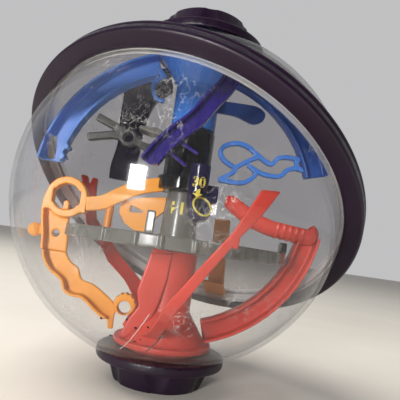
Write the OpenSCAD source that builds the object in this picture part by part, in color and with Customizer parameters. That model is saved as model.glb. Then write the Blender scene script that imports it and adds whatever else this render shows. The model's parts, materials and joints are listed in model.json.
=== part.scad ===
// Ball maze in a clear sphere. Two clear domes meet on a slanted seam inside a rim ring.
// A fixed middle track stands on the seam, and an upper and a lower track turn on it,
// each one driven by its own outside knob. Millimetres, +Z along the knob axis.

/* [Dome] */
// Outer radius of both domes
dome_r = 90; // [75:1:108]
// Wall of the domes
dome_wall = 2; // [1.6:0.1:2.4]
// Straight skirt between each dome's centre and the seam
skirt_h = 4; // [3:0.5:5]
// Slant of the seam against the knob axis' square plane, in degrees
seam_tilt = 40; // [35:1:45]
// How far each dome's lip stands out into the rim ring
lip_w = 5; // [4:0.5:6]
// Thickness of each dome's lip
lip_t = 1.8; // [1.4:0.1:2.2]

/* [Rim ring] */
// Wall of the ring outside the lips
ring_wall = 4.4; // [4:0.1:5.4]
// Thickness of each ring half
ring_half_t = 4.6; // [3.9:0.1:5.6]
// Rounding of the ring's outer corners
ring_corner_r = 1.7; // [1:0.1:2]
// Number of screws that close the ring
screw_count = 8; // [4:2:12]
// Radius of a screw's shank
screw_r = 0.9; // [0.7:0.1:1.1]
// Radius of a screw's head
screw_head_r = 1.6; // [1.4:0.1:1.8]

/* [Knobs] */
// Radius of a knob's flange
flange_r = 35.2; // [29:0.2:42]
// Thickness of a knob's flange
flange_t = 5.3; // [4.4:0.1:6.4]
// Radius of the grip where it leaves the flange
grip_base_r = 29; // [26:0.5:29]
// Radius of the grip at its flat end
grip_tip_r = 24; // [22:0.5:26]
// Height of the grip
grip_h = 11.5; // [9.5:0.5:14]
// Number of finger scallops round the grip
scallop_count = 6; // [5:1:9]
// Radius of a finger scallop
scallop_r = 11; // [9:0.5:13]
// Wall of the hollow knob
knob_wall = 2.6; // [2:0.1:3]

/* [Fits] */
// Radial clearance of a turning spigot or stub
run_gap = 0.05; // [0.02:0.01:0.1]
// Clearance between faces that turn past each other
move_gap = 0.4; // [0.3:0.05:0.6]
// Radius of the hubs' spigots in the dome caps
spigot_r = 20; // [17:0.5:22]
// Radius of the core's stubs in the hubs
stub_r = 5; // [4:0.2:6]
// Length of each core stub
stub_l = 8; // [6:0.5:10]

/* [Middle track] */
// Outer radius of the round ball track
track_r = 61.5; // [51.5:0.5:62]
// Width of the round ball track
track_w = 10; // [9:0.5:12]
// Height of the round ball track
track_h = 6.4; // [5.4:0.2:7]
// Radius of the core at its black sleeve
core_r = 13.5; // [12:0.5:15]
// Radius of the upper and lower turning columns
column_r = 13; // [11:0.5:14.5]
// Radius of the steel ball
ball_r = 3.2; // [2.8:0.1:3.6]
// Wall of the moulded tracks
track_wall = 1.6; // [1.4:0.1:2]

/* [Turning tracks] */
// Turn of the seam against the maze, in degrees
maze_turn = 28.8; // [20:0.4:40]
// Radial width of the curved slide tracks
slide_w = 13.5; // [11:0.5:14.5]
// Depth of a slide track's side walls
slide_depth = 9; // [7.5:0.5:11]
// Width of the rails in the wavy ladder
rail_w = 2.6; // [2:0.2:3.2]
// Outer radius of the ribbed trough
trough_r = 6.4; // [5.4:0.2:7]

/* [Hidden] */
$fn = 64;
far = 400;

// The outlines below are drawn for a hollow of this radius and follow the dome's real one
drawn_hollow_r = 88;
hollow_r = dome_r - dome_wall;
fit = hollow_r / drawn_hollow_r;

// Heights above and below the sphere's centre
cap_h = skirt_h * cos(seam_tilt) + sqrt(pow(dome_r, 2) - pow(flange_r, 2));
cap_in_h = cap_h - dome_wall;
knob_in_h = cap_h + move_gap;
centre_h = knob_in_h + flange_t + grip_h;
disc_t = 3;
disc_out_h = cap_in_h - move_gap;
disc_in_h = disc_out_h - disc_t;
disc_r = 27;
flare_h = 16;

// The core's heights: sleeve on top, cone below it, round track's spokes at its foot
sleeve_top = 38 * fit;
sleeve_foot = 2 * fit;
cone_foot = -25 * fit;
cone_top_r = 9;
cone_foot_r = 10.6;
track_top = -24.6 * fit;
track_foot = track_top - track_h;
stub_gap = 1;

// Turning tracks keep to either side of this height, outside the core
split_z = 9.5 * fit;
split_gap = move_gap;
skin_out_r = hollow_r - 8;
skin_t = 3;

function scaled(points) = [for (p = points) p * fit];
function heading(p, i) = let (d = p[min(i + 1, len(p) - 1)] - p[max(i - 1, 0)]) d / norm(d);
function beside(p, w) = [for (i = [0 : len(p) - 1]) p[i] + w * [-heading(p, i).y, heading(p, i).x]];
function reversed(p) = [for (i = [len(p) - 1 : -1 : 0]) p[i]];
function ribbon(p, w) = concat(beside(p, w / 2), reversed(beside(p, -w / 2)));
function between(a, b, c, d, t) =
    0.5 * (2 * b + (c - a) * t + (2 * a - 5 * b + 4 * c - d) * t * t
           + (3 * b - a - 3 * c + d) * t * t * t);
function smooth(p, steps = 4) = concat(
    [for (i = [0 : len(p) - 2]) for (j = [0 : steps - 1])
        between(p[max(i - 1, 0)], p[i], p[i + 1], p[min(i + 2, len(p) - 1)], j / steps)],
    [p[len(p) - 1]]);
function arc(r, a, b, steps = 12) =
    [for (i = [0 : steps]) let (t = a + (b - a) * i / steps) r * [cos(t), sin(t)]];

module at_centre() { translate([0, 0, centre_h]) children(); }
module seam_frame() {
    at_centre() rotate([0, 0, -maze_turn]) rotate([-seam_tilt, 0, 0]) children();
}

// Stands a flat outline up across the maze, depth towards its viewer's side
module stand(thickness, depth = 0) {
    translate([0, -depth, 0]) rotate([90, 0, 0])
        linear_extrude(thickness) children();
}

// Tube between two radii
module sleeve(outer, inner, height) {
    difference() {
        cylinder(r = outer, h = height);
        translate([0, 0, -height]) cylinder(r = inner, h = 3 * height);
    }
}

// Skin of a ball just inside the domes, where the strip tracks run
module skin(outer = skin_out_r, thickness = skin_t) {
    difference() {
        sphere(r = outer);
        sphere(r = outer - thickness);
    }
}

// Keeps a turning track clear of the dome, the caps and the other track
module turning_room(low, high) {
    intersection() {
        children();
        sphere(r = hollow_r - move_gap);
        translate([0, 0, low]) cylinder(r = far, h = high - low);
    }
}
module upper_room() { turning_room(split_z + split_gap, disc_in_h) children(); }
module lower_room() { turning_room(-disc_in_h, split_z - split_gap) children(); }

/* ---------- shell ---------- */

// Solid half of the shell before it is hollowed, on +Z of the seam
module dome_form(r) {
    difference() {
        translate([0, 0, skirt_h]) sphere(r = r);
        translate([0, 0, -far]) cylinder(r = far, h = far + skirt_h);
    }
    cylinder(r = r, h = skirt_h);
}

// Slab that cuts the dome flat under the knob
module cap_slab(height) {
    rotate([seam_tilt, 0, 0]) cylinder(r = far, h = 2 * height, center = true);
}

module dome() {
    difference() {
        union() {
            intersection() {
                dome_form(dome_r);
                cap_slab(cap_h);
            }
            cylinder(r = dome_r + lip_w, h = lip_t);
        }
        intersection() {
            union() {
                dome_form(hollow_r);
                translate([0, 0, -skirt_h]) cylinder(r = hollow_r, h = 2 * skirt_h);
            }
            cap_slab(cap_in_h);
        }
        rotate([seam_tilt, 0, 0]) cylinder(r = spigot_r + run_gap, h = far);
    }
}

module rear_dome() { color("gainsboro", 0.3) seam_frame() dome(); }

module front_dome() {
    color("gainsboro", 0.3) difference() {
        seam_frame() rotate([180, 0, 0]) dome();
        rear_post_tongue(0);
    }
}

// Section of one ring half, above the seam
module ring_section() {
    outer = dome_r + lip_w + ring_wall;
    difference() {
        union() {
            translate([dome_r, 0]) square([outer - dome_r, ring_half_t - ring_corner_r]);
            translate([dome_r + ring_corner_r, 0])
                square([outer - dome_r - 2 * ring_corner_r, ring_half_t]);
            translate([outer - ring_corner_r, ring_half_t - ring_corner_r]) circle(r = ring_corner_r);
            translate([dome_r + ring_corner_r, ring_half_t - ring_corner_r]) circle(r = ring_corner_r);
        }
        translate([0, -lip_t]) square([dome_r + lip_w, 2 * lip_t]);
    }
}

screw_ring_r = dome_r + lip_w + ring_wall / 2;
screw_head_h = 1.2;
screw_l = 6;

module each_screw() {
    for (i = [0 : screw_count - 1]) rotate([0, 0, (i + 0.5) * 360 / screw_count])
        translate([screw_ring_r, 0, 0]) children();
}

module ring_screw() {
    translate([0, 0, ring_half_t - screw_head_h]) cylinder(r = screw_head_r, h = screw_head_h);
    translate([0, 0, ring_half_t - screw_l]) cylinder(r = screw_r, h = screw_l);
}

module rear_ring() {
    color("#2a1836") seam_frame() difference() {
        rotate_extrude() ring_section();
        each_screw() ring_screw();
    }
}

module front_ring() {
    color("#2a1836") seam_frame() difference() {
        rotate([180, 0, 0]) rotate_extrude() ring_section();
        each_screw() ring_screw();
    }
}

module ring_screws() { color("silver") seam_frame() each_screw() ring_screw(); }

/* ---------- fixed middle ---------- */

module core_stub(direction) {
    mirror([0, 0, direction < 0 ? 1 : 0]) cylinder(r = stub_r, h = stub_l);
}

module core_cone() {
    color("#6d6e68") at_centre() {
        translate([0, 0, cone_foot])
            cylinder(r1 = cone_foot_r, r2 = cone_top_r, h = sleeve_foot - cone_foot);
        translate([0, 0, track_foot]) cylinder(r = cone_foot_r, h = cone_foot - track_foot);
        translate([0, 0, track_foot]) core_stub(-1);
    }
}

module core_sleeve() {
    color("#1b1b1c") at_centre() {
        translate([0, 0, sleeve_foot]) cylinder(r = core_r, h = sleeve_top - sleeve_foot);
        translate([0, 0, sleeve_top]) core_stub(1);
    }
}

collar_h = 8;
collar_r = 16;
collar_flat = 2;
module sleeve_collar() {
    color("#151416") at_centre() intersection() {
        translate([0, 0, sleeve_foot]) sleeve(collar_r, core_r, collar_h);
        translate([-far, -far / 2, -far]) cube([far - collar_flat, far, 2 * far]);
    }
}

spoke_w = 6;
spoke_t = 1.6;
spoke_rise = 0.6;
spoke_count = 5;
spoke_from = 36;
seat_rim = 2;
seat_h = 3;
rib_r = 1.1;
rib_angles = [-123, -107, -96, -82, -60, -34];
floor_t = 2;
module round_track() {
    inner = track_r - track_w;
    color("#6b6b66") at_centre() difference() {
        union() {
            translate([0, 0, track_foot]) sleeve(track_r, inner, track_h);
            for (i = [0 : spoke_count - 1]) rotate([0, 0, i * 360 / spoke_count + spoke_from])
                translate([0, -spoke_w / 2, track_foot + spoke_rise])
                    cube([inner + track_wall / 2, spoke_w, spoke_t]);
            translate([pin_at.x * fit, pin_at.y, track_foot])
                cylinder(r = pin_r + seat_rim, h = seat_h);
            for (a = rib_angles) rotate([0, 0, a])
                translate([track_r, 0, track_foot]) cylinder(r = rib_r, h = track_h);
        }
        translate([0, 0, track_foot - 1]) cylinder(r = cone_foot_r, h = track_h);
        translate([0, 0, track_foot + floor_t])
            sleeve(track_r - track_wall, inner + track_wall, track_h);
    }
}

post_w = 4;
post_h = 10;
post_angle = -102;
module track_post() {
    color("#74756f") at_centre() rotate([0, 0, post_angle])
        translate([track_r - track_wall, -post_w / 2, track_top]) cube([track_wall, post_w, post_h]);
}

stop_size = [4, 7, 6];
stop_angle = -3;
module track_stop() {
    color("#3a3535") at_centre() rotate([0, 0, stop_angle])
        translate([track_r - stop_size.x + 1, -stop_size.y / 2, track_top]) cube(stop_size);
}

fork_root = [[-11, 28], [-26, 26.4], [-36, 30.5]];
fork_low = [[-38, 30.8], [-47, 31], [-61, 27.5]];
fork_high = [[-37.6, 31.6], [-45, 36], [-57, 40.5]];
fork_w = 4.4;
fork_t = 5;
fork_depth = -8;
eye_at = [-37, 30.6];
eye_r = 5.4;
module fork_arm() {
    color("#565650") at_centre() difference() {
        union() {
            for (path = [fork_root, fork_low, fork_high])
                stand(fork_t, fork_depth) polygon(ribbon(scaled(path), fork_w));
            stand(fork_t, fork_depth) translate(eye_at * fit) circle(r = eye_r);
        }
        stand(far, -far / 2) translate(eye_at * fit) circle(r = eye_r / 2);
        translate([0, 0, sleeve_foot]) cylinder(r = core_r, h = sleeve_top);
    }
}

plate_depth = -4;
plate_w = 12;
plate_outline = [[-12, 33.2], [-20, 36], [-30, 36], [-31, 34.4], [-26, 33], [-12, 30.4]];
module landing_plate() {
    color("#8b8b83") at_centre() difference() {
        stand(plate_w, plate_depth) polygon(scaled(plate_outline));
        translate([0, 0, sleeve_foot]) cylinder(r = core_r, h = sleeve_top);
    }
}

// Finish tube: an upright pipe beside the sleeve that ends in a round cup
tube_r = 5.6;
tube_at = [7.4, -15];
tube_top = 17 * fit;
cup_r = 7;
cup_z = -7.6 * fit;
cup_turn = [62, 0, 28];
cup_mouth = 3.2;
cup_bore_r = 5;
cup_hollow_r = 5.2;
rim_t = 1;
rim_r = sqrt(pow(cup_r, 2) - pow(cup_mouth, 2));
cup_shift = 2;
module at_cup() {
    translate([tube_at.x + cup_shift, tube_at.y, cup_z]) rotate(cup_turn) children();
}

module core_solid() {
    translate([0, 0, sleeve_foot]) cylinder(r = core_r, h = sleeve_top - sleeve_foot);
    translate([0, 0, cone_foot]) cylinder(r1 = cone_foot_r, r2 = cone_top_r, h = sleeve_foot - cone_foot);
}

module finish_tube() {
    color("#17132e") at_centre() difference() {
        union() {
            translate([tube_at.x, tube_at.y, cup_z]) cylinder(r = tube_r, h = tube_top - cup_z);
            intersection() {
                at_cup() sphere(r = cup_r);
                at_cup() translate([0, 0, cup_mouth - far]) cylinder(r = far, h = far);
            }
        }
        at_cup() translate([0, 0, cup_mouth]) cylinder(r = cup_r + 1, h = far);
        at_cup() cylinder(r = cup_bore_r, h = far);
        at_cup() sphere(r = cup_hollow_r);
        core_solid();
    }
}

module finish_rim() {
    color("#e6d348") at_centre() at_cup() translate([0, 0, cup_mouth]) sleeve(rim_r, cup_bore_r, rim_t);
}

elbow_size = [8, 9, 10];
elbow_at = [11, -12, -3];
module tube_elbow() {
    color("#151225") at_centre() difference() {
        translate(elbow_at) cube(elbow_size);
        translate([tube_at.x, tube_at.y, cup_z]) cylinder(r = tube_r, h = tube_top);
        at_cup() sphere(r = cup_r);
        core_solid();
    }
}

// Flat loop with the holed plate under it, on the round track's left
loop_centre = [-65, -10];
loop_r = 11.6;
loop_band = 4;
loop_depth = 7;
plate_left = [[-76.6, -10], [-76.8, -20], [-74.6, -32], [-73.6, -41]];
plate_right = [[-61, -41], [-61.8, -30], [-63, -19], [-63, -10]];
plate_floor_t = 2.2;
plate_hole_r = 2;
peg_r = 1.6;
tab_at = [-80, -30.5];
tab_r = 4;
tab_stem = [6, 3.6];
plate_hole_at = [-68.5, -31];
peg_foot = [-65, -16.5];
peg_top = [-65, -13.5];
peg_l = 5;
peg_t = 3;
loop_skirt = 8;
module loop_outline(grow) {
    side = loop_r + grow;
    translate(loop_centre * fit) circle(r = side);
    translate([loop_centre.x * fit - side, loop_centre.y * fit - loop_skirt - grow])
        square([2 * side, loop_skirt]);
}

module loop_track() {
    color("#f2a33c") at_centre() difference() {
        union() {
            stand(loop_depth, -loop_depth / 2) difference() {
                loop_outline(0);
                loop_outline(-loop_band);
            }
            stand(plate_floor_t, -loop_depth / 2) difference() {
                polygon(scaled(concat(smooth(plate_left), smooth(plate_right))));
                translate(plate_hole_at * fit) circle(r = plate_hole_r);
                loop_outline(-loop_band);
            }
            stand(loop_depth, -loop_depth / 2) polygon(ribbon(smooth(scaled(plate_left)), track_wall));
            stand(peg_t, -peg_t / 2) {
                translate(peg_foot * fit) square([peg_r * 2, peg_l], center = true);
                translate(peg_top * fit) circle(r = peg_r);
            }
            stand(tab_r, -tab_r / 2) translate(tab_at * fit - [0, tab_stem.y / 2]) square(tab_stem);
            translate([tab_at.x * fit, 0, tab_at.y * fit]) sphere(r = tab_r);
        }
        translate([0, 0, track_foot]) cylinder(r = track_r, h = track_h);
        translate([0, -far / 2, -far]) cube(far);
    }
}

wave_left = [[-73.6, -41], [-72.4, -45.6], [-67.9, -51.8], [-61, -56.3], [-58.2, -62], [-53.4, -64.3],
             [-47.8, -64.8], [-42.7, -68.3], [-37.6, -72.1], [-33, -74.4]];
wave_right = [[-61, -41], [-57.7, -45.9], [-52.8, -48.8], [-50, -54.6], [-43.6, -56.4], [-37.4, -59.9],
              [-32.2, -63.6], [-28.4, -67.6], [-28.8, -73]];
wave_leg = [[-33, -71], [-28.8, -71], [-28.4, -79.6], [-31.4, -79.6]];
module wave_outline() {
    polygon(scaled(concat(smooth(wave_left), reversed(smooth(wave_right)))));
}

module wave_track() {
    edge = beside(smooth(scaled(wave_left)), track_wall * 0.55);
    color("#f0a03c") at_centre() intersection() {
        union() {
            stand(plate_floor_t, -loop_depth / 2) {
                wave_outline();
                polygon(scaled(wave_leg));
            }
            stand(loop_depth, -loop_depth / 2) polygon(ribbon(edge, track_wall));
        }
        translate([-far / 2, -far / 2, wave_left[0].y * fit - far]) cube(far);
    }
}

cup_at = [-23.5, -64.5];
scallop_cup_r = 6.2;
notch_r = 1.2;
notch_count = 5;
notch_from = 20;
notch_step = 28;
cup_eye_r = 3.6;
cup_eye_drop = 2;
module scallop_cup() {
    color("#eb9a38") at_centre() difference() {
        stand(loop_depth, -loop_depth / 2) difference() {
            translate(cup_at * fit) circle(r = scallop_cup_r);
            translate([cup_at.x, cup_at.y - cup_eye_drop] * fit) circle(r = cup_eye_r);
            for (i = [0 : notch_count - 1]) translate(cup_at * fit)
                rotate(notch_from + notch_step * i) translate([scallop_cup_r + 0.4, 0])
                    circle(r = notch_r);
        }
        stand(far, -far / 2) wave_outline();
        stand(far, -far / 2) polygon(scaled(wave_leg));
    }
}

arm_path = [[-53, -12.5], [-44, -10.5], [-34, -4], [-24, 1.2], [-12, 4.6]];
arm_w = 8;
arm_t = 3;
arm_depth = 4;
module curved_arm() {
    color("#f4ac4e") at_centre() difference() {
        stand(arm_t, arm_depth) polygon(ribbon(smooth(scaled(arm_path)), arm_w));
        stand(far, -far / 2) loop_outline(0);
        core_solid();
        translate([0, 0, sleeve_foot]) cylinder(r = collar_r, h = collar_h);
    }
}

petal_outline = [[-9, -2], [-22, -4], [-34, -7], [-35, -14], [-31, -20], [-25, -23.4],
                 [-18, -23.4], [-16, -17], [-9, -10]];
petal_slot = [[-29, -9.4], [-29, -13.4], [-19, -12.6]];
petal_t = 7;
petal_depth = -5;
module petal_track() {
    color("#e8952f") at_centre() difference() {
        stand(petal_t, petal_depth) difference() {
            polygon(scaled(petal_outline));
            polygon(scaled(petal_slot));
        }
        core_solid();
    }
}

pin_r = 2.2;
pin_at = [-39.5, -6];
pin_top = -9 * fit;
module drop_pin() {
    color("#d98b33") at_centre() difference() {
        translate([pin_at.x * fit, pin_at.y, track_foot + seat_h])
            cylinder(r = pin_r, h = pin_top - track_foot - seat_h);
        stand(far, -far / 2) polygon(ribbon(smooth(scaled(arm_path)), arm_w));
    }
}

// Post behind the core that carries the middle on the seam
rear_post_w = 11;
rear_post_t = 4;
tongue_t = 1.6;
tongue_w = 16;
tongue_reach = 12;
post_path_r = track_r + rear_post_t / 2;
post_path = [[post_path_r - 1.5, -6 * fit], [post_path_r, -18 * fit], [post_path_r, -34 * fit],
             [64.6, -45] * fit, [66, -53] * fit, [68.6, -58.6] * fit];
module rear_post_frame() { at_centre() rotate([0, 0, 90 - maze_turn]) children(); }

// Tongue that lies in the seam, between the two domes' lips
module rear_post_tongue(gap) {
    seam_frame() translate([-tongue_w / 2 - gap, hollow_r - tongue_reach, -tongue_t - gap])
        cube([tongue_w + 2 * gap, tongue_reach + dome_wall + lip_w / 2, tongue_t + gap]);
}

module rear_post() {
    color("#dd8f2e") {
        difference() {
            rear_post_frame() translate([0, rear_post_w / 2, 0]) stand(rear_post_w)
                polygon(ribbon(smooth(post_path), rear_post_t));
            at_centre() translate([0, 0, track_foot]) sleeve(track_r, track_r - track_w, track_h);
            seam_frame() sleeve(far, hollow_r - move_gap, far / 2);
            seam_frame() translate([0, 0, -far / 2]) sleeve(far, hollow_r - move_gap, far / 2);
        }
        rear_post_tongue(0);
    }
}

/* ---------- knobs and hubs ---------- */

knob_screw_r = 1.5;
knob_screw_head_r = 3.2;
knob_screw_head_h = 2.2;
knob_screw_l = 17;
knob_recess_h = 5;
boss_r = 8;
knob_round_r = 1.6;

scallop_depth = 3;
scallop_lean = 12;
pocket_rim = 4;

module scallops() {
    for (i = [0 : scallop_count - 1]) rotate([0, 0, i * 360 / scallop_count])
        translate([grip_base_r + scallop_r - scallop_depth, 0, flange_t])
            rotate([0, -scallop_lean, 0]) cylinder(r = scallop_r, h = 2 * grip_h);
}

// Knob on +Z, its inner face at z = 0
module knob() {
    end_h = flange_t + grip_h;
    difference() {
        union() {
            rotate_extrude() {
                square([flange_r - knob_round_r, flange_t]);
                square([flange_r, flange_t - knob_round_r]);
                translate([flange_r - knob_round_r, flange_t - knob_round_r]) circle(r = knob_round_r);
            }
            difference() {
                translate([0, 0, flange_t - 1])
                    cylinder(r1 = grip_base_r, r2 = grip_tip_r, h = grip_h + 1);
                scallops();
            }
        }
        difference() {
            translate([0, 0, -1])
                cylinder(r = grip_tip_r - knob_wall - pocket_rim, h = end_h - knob_wall + 1);
            translate([0, 0, -2]) cylinder(r = boss_r, h = end_h);
        }
        translate([0, 0, end_h - knob_recess_h]) cylinder(r = knob_screw_head_r + 1, h = far);
        translate([0, 0, -far / 2]) cylinder(r = knob_screw_r, h = far);
    }
}

module knob_screw() {
    head_z = flange_t + grip_h - knob_recess_h;
    translate([0, 0, head_z]) cylinder(r = knob_screw_head_r, h = knob_screw_head_h);
    translate([0, 0, head_z - knob_screw_l]) cylinder(r = knob_screw_r, h = knob_screw_l);
}

module on_top() {
    at_centre() rotate([0, 0, -maze_turn]) translate([0, 0, knob_in_h]) children();
}
module on_bottom() {
    mirror([0, 0, 1]) translate([0, 0, -2 * centre_h]) on_top() children();
}

module upper_knob() { color("#2a1836") on_top() knob(); }
module lower_knob() { color("#2a1836") on_bottom() knob(); }
module upper_knob_screw() { color("silver") on_top() knob_screw(); }
module lower_knob_screw() { color("silver") on_bottom() knob_screw(); }

hub_thread_rise = 6;
flare_in = 3;

// Hub on +Z of the centre: spigot, disc, flare and column down to its mouth
module hub(mouth_h, stub_top) {
    difference() {
        union() {
            translate([0, 0, disc_in_h]) cylinder(r = disc_r, h = disc_t);
            translate([0, 0, disc_in_h]) cylinder(r = spigot_r, h = knob_in_h - disc_in_h);
            translate([0, 0, disc_in_h - flare_h])
                cylinder(r1 = column_r, r2 = disc_r - flare_in, h = flare_h);
            translate([0, 0, mouth_h]) cylinder(r = column_r, h = disc_in_h - mouth_h);
        }
        translate([0, 0, mouth_h - 1]) cylinder(r = stub_r + run_gap, h = stub_top - mouth_h + 2);
        translate([0, 0, knob_in_h - knob_screw_l + hub_thread_rise])
            cylinder(r = knob_screw_r, h = far);
    }
}
upper_mouth = sleeve_top + stub_gap;
lower_mouth = -track_foot + stub_gap;
module upper_hub_solid() { hub(upper_mouth, sleeve_top + stub_l); }
module lower_hub_solid() { mirror([0, 0, 1]) hub(lower_mouth, -track_foot + stub_l); }
module upper_hub() { color("#2c5cb4") at_centre() upper_hub_solid(); }
module lower_hub() { color("#d2473f") at_centre() lower_hub_solid(); }

// Plain outside of a hub, taken off the tracks that butt against it
module hub_envelope(direction) {
    mirror([0, 0, direction < 0 ? 1 : 0]) {
        translate([0, 0, disc_in_h - flare_h])
            cylinder(r1 = column_r, r2 = disc_r - flare_in, h = flare_h);
        translate([0, 0, direction < 0 ? lower_mouth : upper_mouth])
            cylinder(r = column_r, h = disc_in_h);
        translate([0, 0, disc_in_h]) cylinder(r = disc_r, h = far);
    }
}

/* ---------- upper turning track ---------- */

slide_out_r = hollow_r - 2;
slide_floor_t = 2;
slide_from = 174;
slide_to = 108;

// Curved slide: a floor across the maze with a wall along each edge
module slide(r, w, a, b, depth) {
    outline = concat(arc(r, a, b), reversed(arc(r - w, a, b)));
    stand(slide_floor_t, -depth / 2) polygon(outline);
    stand(depth, -depth / 2)
        polygon(concat(arc(r, a, b), reversed(arc(r - track_wall, a, b))));
    stand(depth, -depth / 2)
        polygon(concat(arc(r - w + track_wall, a, b), reversed(arc(r - w, a, b))));
}

slide_slot = [[-80, 22.5], [-79.6, 13]];
slot_r = 2.4;
tab_angles = [10, 14.6];
slide_tab_r = 1.8;
module left_slide() {
    color("#3b74cf") at_centre() upper_room() difference() {
        union() {
            slide(slide_out_r, slide_w, slide_from, slide_to, slide_depth);
            for (a = tab_angles) rotate([0, a, 0]) translate([slide_w - slide_out_r, 0, 0])
                rotate([90, 0, 0]) cylinder(r = slide_tab_r, h = slide_depth, center = true);
        }
        for (p = scaled(slide_slot)) stand(far, -far / 2) translate(p) circle(r = slot_r);
        stand(far, -far / 2) polygon(ribbon(scaled(slide_slot), 2 * slot_r));
        hub_envelope(1);
    }
}

arc_out_r = hollow_r - 4;
arc_w = 14;
arc_from = 16;
arc_to = 80;
arc_depth = 8;
arc_at = 8;
module right_arc() {
    color("#1f4fa0") at_centre() upper_room() difference() {
        translate([0, -arc_at, 0]) slide(arc_out_r, arc_w, arc_from, arc_to, arc_depth);
        hub_envelope(1);
    }
}

ladder_top = [[74, 29.7], [62.9, 29.9], [55.1, 30], [50.1, 28.4], [47.3, 24.6], [41.3, 27], [36.4, 30.4],
              [30.9, 33.3], [25.1, 33.6], [19.2, 31.1], [17.4, 26.9], [20.5, 22.5], [27.3, 18.8],
              [23.2, 14.6], [18.4, 11.4]];
ladder_foot = [[18.4, 11.4], [23.9, 11.2], [30.8, 11.3], [35.6, 13.6], [39, 18.3], [34, 22.2]];
ladder_low = [[34, 22.2], [37.1, 20.5], [42.2, 18.6], [48.1, 17.9], [53.5, 18.9], [56.2, 22.4],
              [60.9, 24.3], [67, 23.8], [73, 23.8]];
ladder_ties = [[[26.6, 19.4], [33.2, 24.3], [39.3, 27.8]], [[61.6, 30], [61.6, 24.4]]];
ladder_t = 4;
module wavy_ladder() {
    color("#3c78c8") at_centre() upper_room() difference() {
        stand(ladder_t, arc_at - ladder_t / 2) {
            for (rail = [ladder_top, ladder_foot, ladder_low])
                polygon(ribbon(smooth(scaled(rail), 3), rail_w));
            for (tie = ladder_ties) polygon(ribbon(scaled(tie), rail_w));
        }
        translate([0, -arc_at, 0]) slide_envelope(arc_out_r, arc_w, arc_from, arc_to);
    }
}

// Whole prism of a slide, for tracks that butt against it
module slide_envelope(r, w, a, b) {
    stand(far, -far / 2) polygon(concat(arc(r + w, a, b), reversed(arc(r - w, a, b))));
}

// Rounded leaf behind the ladder, on an arm from the hub's column
lobe_outline = [[6, 62], [20, 62.6], [30, 62.8], [38, 62], [42.6, 58.6], [41.4, 53.6], [36, 51],
                [30, 52.6], [24, 54.4], [14, 54.6], [6, 54]];
lobe_t = 3;
lobe_depth = -9;
module rear_lobe() {
    color("#3868b4") at_centre() upper_room() difference() {
        stand(lobe_t, lobe_depth) polygon(scaled(smooth(lobe_outline, 3)));
        hub_envelope(1);
    }
}

ramp_path = [[17.5, 66], [14.5, 57], [7, 46], [1, 36.4], [-8, 27], [-14, 19.6], [-20, 10]];
ramp_w = 9.5;
ramp_depth = 32;
ramp_t = 6;
rungs = [[[-7, 24.6], [4.2, 18.8]], [[-11.4, 18.6], [-0.8, 11.8]]];
rung_w = 1.8;
ramp_tie = [[12, 66], [21, 66], [22, 72], [20, 79.8], [10, 79.8]];
ramp_floor_t = 2;
ramp_tie_t = 20;
ramp_tie_depth = 18;
module violet_ramp() {
    middle = smooth(scaled(ramp_path));
    rise = (ramp_w - track_wall) / 2;
    color("#2b1f7a") at_centre() upper_room() {
        stand(ramp_floor_t, ramp_depth) polygon(ribbon(middle, ramp_w));
        stand(ramp_t, ramp_depth) for (side = [-rise, rise])
            polygon(ribbon(beside(middle, side), track_wall));
        stand(ramp_floor_t, ramp_depth) for (r = rungs) polygon(ribbon(scaled(r), rung_w));
        difference() {
            stand(ramp_tie_t, ramp_tie_depth) polygon(scaled(ramp_tie));
            hub_envelope(1);
        }
    }
}

hook_path = [[-22, 66], [-26, 62], [-25.4, 56], [-22, 52.4], [-18.4, 52.6]];
hook_stem = [[-26, 72], [-20, 66]];
hook_w = 2.2;
hook_stem_w = 3;
hook_t = 3;
hook_depth = 5;
module hook_rail() {
    color("#4a86d6") at_centre() upper_room() difference() {
        stand(hook_t, hook_depth) {
            polygon(ribbon(smooth(scaled(hook_path)), hook_w));
            polygon(ribbon(scaled(hook_stem), hook_stem_w));
        }
        hub_envelope(1);
    }
}

navy_path = [[-20, 78], [-33, 69], [-41, 52], [-43, 34], [-46, 20], [-46, 12]];
navy_w = 15;
module navy_band() {
    color("#1c2050") at_centre() upper_room() difference() {
        intersection() {
            skin();
            stand(far, -far - slide_depth / 2) polygon(ribbon(smooth(scaled(navy_path)), navy_w));
        }
        hub_envelope(1);
    }
}

/* ---------- lower turning track ---------- */

blade_outline = [[-12.6, -34], [-1.2, -33], [-2, -48], [-4.4, -60], [-8, -70], [-11, -80],
                 [-23, -80], [-19.4, -70], [-15, -63], [-17, -55]];
blade_depth = 11.4;
blade_t = 3;
module front_blade() {
    color("#e0524a") at_centre() lower_room() difference() {
        stand(blade_t, blade_depth) polygon(scaled(blade_outline));
        hub_envelope(-1);
    }
}

bar_left = [[-12, -78], [-6.5, -70.5], [-1, -55.4], [11, -36], [22.4, -19.6], [32, -0.6]];
bar_right = [[41, 0.5], [33.7, -11.2], [25.6, -21.6], [14, -40], [5, -56], [-1.4, -73.4], [-3, -78]];
bar_peg = [[24.6, -18], [24.6, -26.4]];
bar_peg_w = 2.2;
module long_bar() {
    color("#dc4a42") at_centre() lower_room() difference() {
        intersection() {
            skin();
            stand(far) {
                polygon(scaled(concat(bar_left, bar_right)));
                polygon(ribbon(scaled(bar_peg), bar_peg_w));
            }
        }
        hub_envelope(-1);
    }
}

sweep_out_r = hollow_r - 5;
sweep_w = 12.6;
sweep_depth = 9;
sweep_from = -9;
sweep_to = -74;
module sweep_arm() {
    color("#c93f38") at_centre() lower_room() difference() {
        slide(sweep_out_r, sweep_w, sweep_from, sweep_to, sweep_depth);
        hub_envelope(-1);
        trough_pipes(trough_r + trough_rib_h);
    }
}

trough_path = [[75, -11.5], [53, -9.4], [43, -6.6], [30.4, 1]];
trough_ribs = 5;
trough_rib_h = 0.6;
trough_lip = 2.4;
trough_rib_share = 0.2;
cup_back = [-12, 5];

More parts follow.
